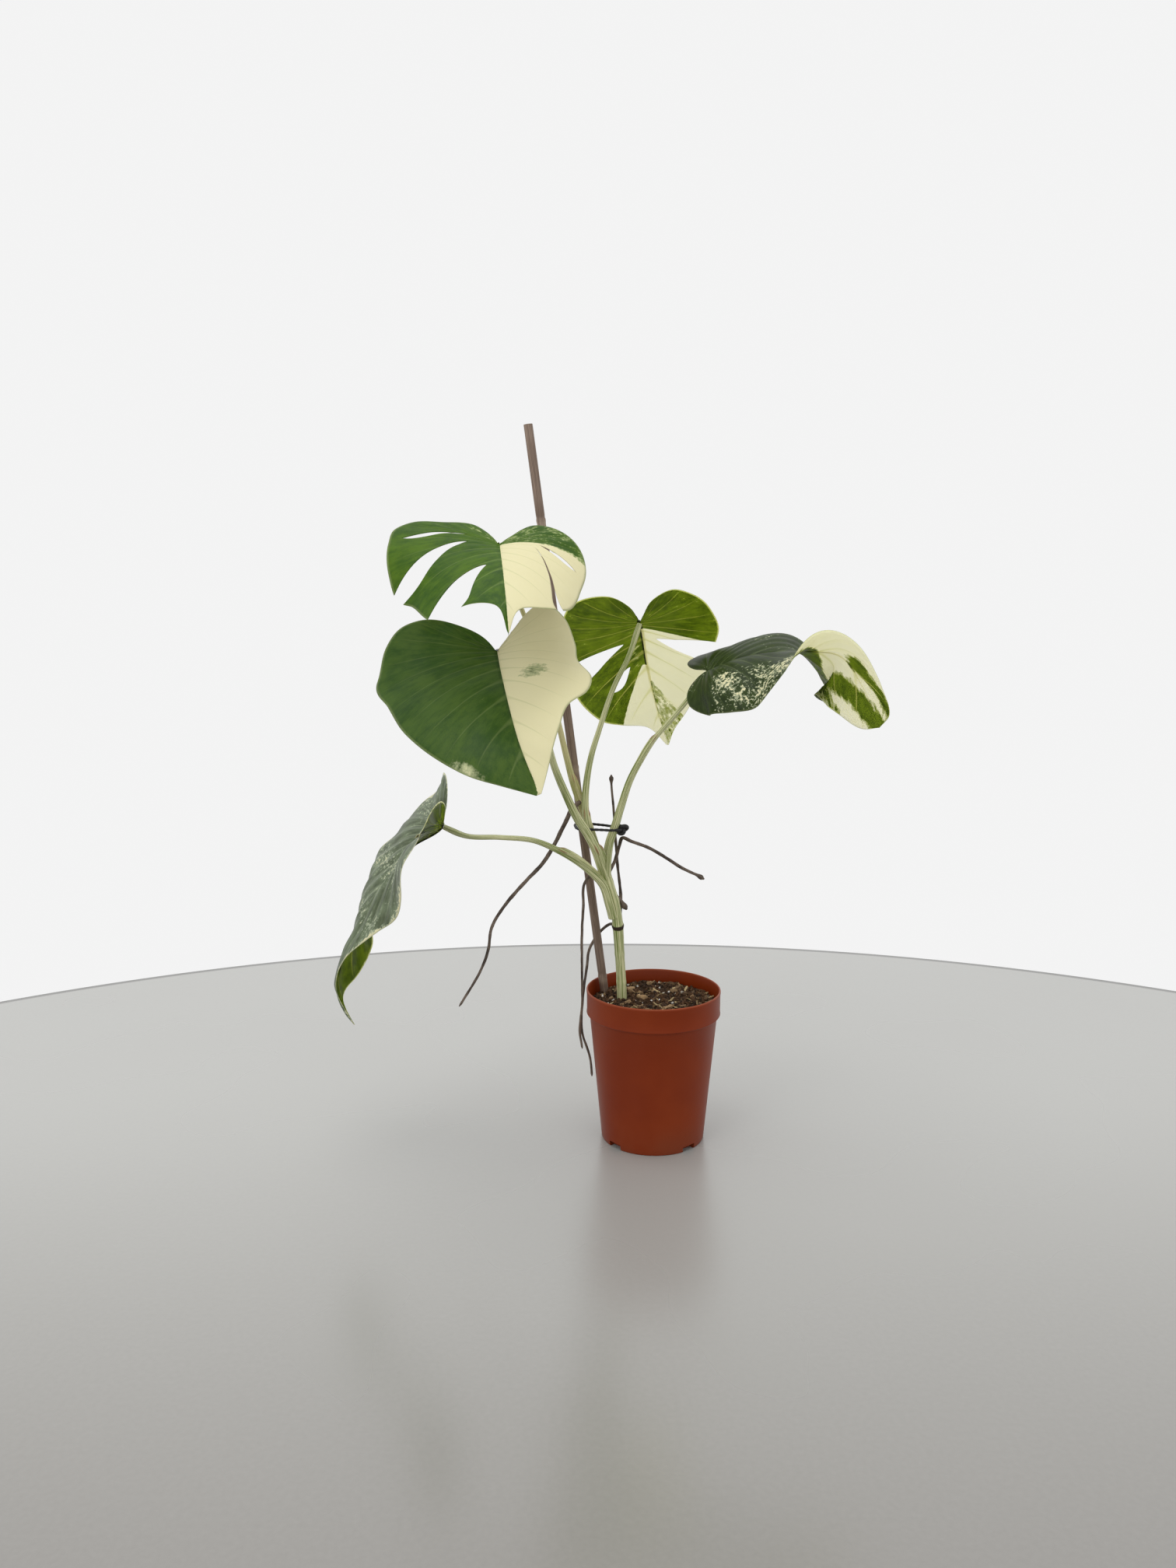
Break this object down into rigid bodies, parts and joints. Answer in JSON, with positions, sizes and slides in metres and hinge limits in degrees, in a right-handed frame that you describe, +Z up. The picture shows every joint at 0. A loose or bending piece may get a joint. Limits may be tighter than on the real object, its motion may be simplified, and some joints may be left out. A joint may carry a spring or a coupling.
{
  "type": "potted monstera plant",
  "caption": "Variegated split-leaf plant on a leaning cane in a round tapered nursery pot, with arching leaf stalks and hanging aerial roots.",
  "frame": {"origin": "middle of the pot's flat underside, where it stands", "axes": "+Z up, +X towards the side that the twisted right-hand leaf is on, and -Y towards the side that the front leaves face"},
  "size_m": [0.4562, 0.2979, 0.6275],
  "materials": {
    "terracotta_plastic": "thin terracotta-red nursery plastic with a soft sheen",
    "peat_and_bark": "dark peat with bark chips",
    "brown_cane": "weathered brown cane",
    "green_stem": "green stem with darker node rings",
    "pale_green_stalk": "pale green, striped lengthwise",
    "leaf_green": "waxy green leaf with cream sectors",
    "root_brown": "dark, dry root bark",
    "black_tie": "black rubbery garden tie"
  },
  "bodies": {
    "root": {"aerial_root_hanging": "root_brown", "aerial_root_long": "root_brown", "aerial_root_over_rim": "root_brown", "aerial_root_right": "root_brown", "aerial_root_stub": "root_brown", "aerial_root_upright": "root_brown", "cane": "brown_cane", "leaf_1": "leaf_green", "leaf_2": "leaf_green", "leaf_3": "leaf_green", "leaf_4": "leaf_green", "leaf_5": "leaf_green", "main_stem": "green_stem", "petiole_1": "pale_green_stalk", "petiole_2": "pale_green_stalk", "petiole_3": "pale_green_stalk", "petiole_4": "pale_green_stalk", "petiole_5": "pale_green_stalk", "plant_tie": "black_tie", "pot": "terracotta_plastic", "potting_mix": "peat_and_bark"}
  },
  "joints": []
}
